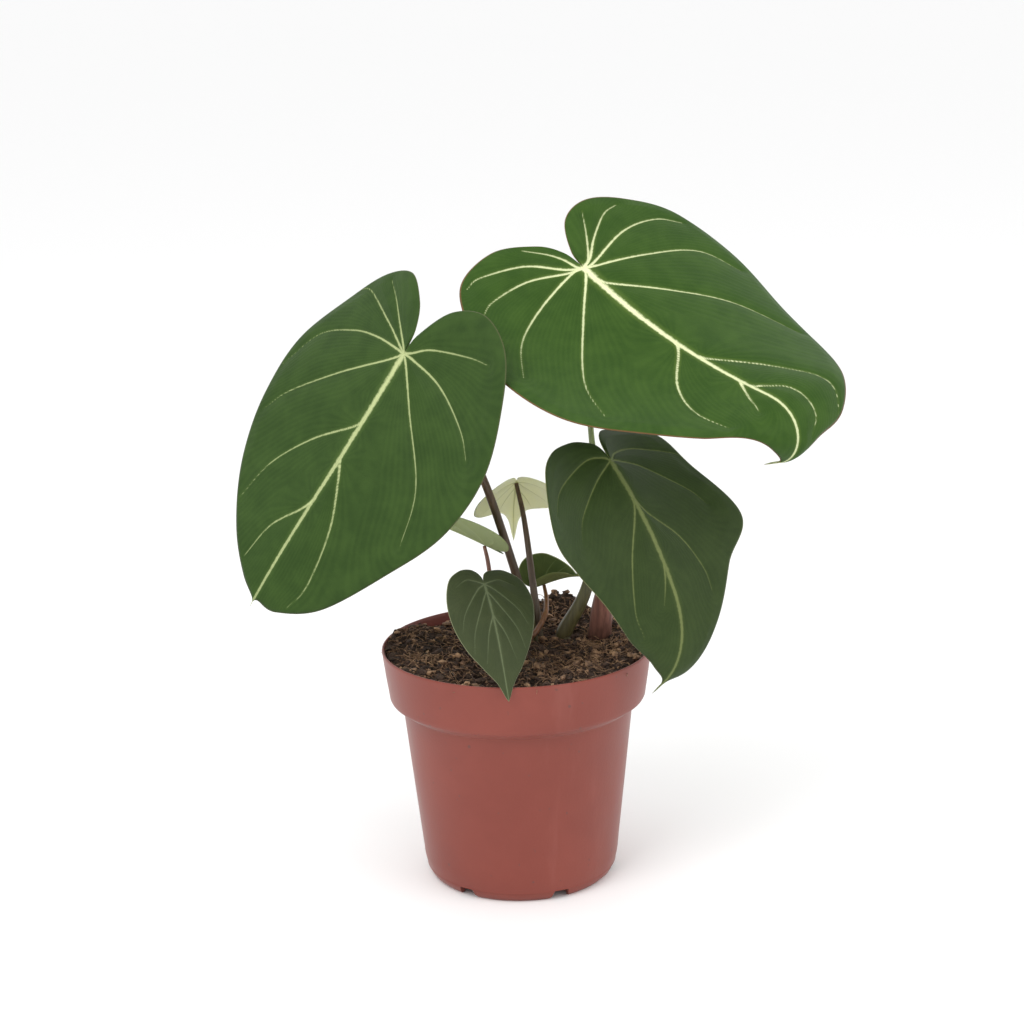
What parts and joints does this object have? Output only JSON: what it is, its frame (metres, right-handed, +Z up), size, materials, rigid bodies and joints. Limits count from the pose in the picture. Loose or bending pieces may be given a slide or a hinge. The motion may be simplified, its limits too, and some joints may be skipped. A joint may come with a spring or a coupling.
{
  "type": "potted philodendron",
  "caption": "Potted foliage plant: heart-shaped cream-veined leaves on upright stalks, rooted in compost in a round tapered plastic nursery pot that stands on a flat foot.",
  "frame": {"origin": "centre of the whole plant's bounding box, on the surface the pot stands on", "axes": "+Z up along the pot's axis, -Y towards the front, where the small leaf hangs over the lip, +X to the viewer's right"},
  "size_m": [0.2588, 0.1424, 0.299],
  "materials": {
    "pot_plastic": "terracotta-coloured moulded plastic, slightly glossy, lightly scuffed",
    "compost": "loose damp peat compost with coir fibre",
    "leaf_green": "velvety mid green blade with cream veins",
    "leaf_dark": "velvety dark green blade with pale thin margin",
    "leaf_pale": "pale cream-green underside of a young blade",
    "stalk_green": "smooth olive green stalk",
    "stalk_brown": "smooth dark brown stalk",
    "stalk_red": "smooth reddish brown stalk",
    "sheath_red": "dry pinkish red bud sheath"
  },
  "bodies": {
    "root": {"blade_back": "leaf_pale", "blade_curled": "leaf_dark", "blade_edge": "leaf_pale", "blade_front": "leaf_dark", "blade_left": "leaf_green", "blade_right": "leaf_dark", "blade_top": "leaf_green", "pot": "pot_plastic", "sheath_olive": "stalk_green", "sheath_red": "sheath_red", "soil": "compost", "stalk_back": "stalk_brown", "stalk_curled": "stalk_red", "stalk_edge": "stalk_red", "stalk_front": "stalk_brown", "stalk_left": "stalk_brown", "stalk_right": "stalk_green", "stalk_top": "stalk_green"}
  },
  "joints": []
}
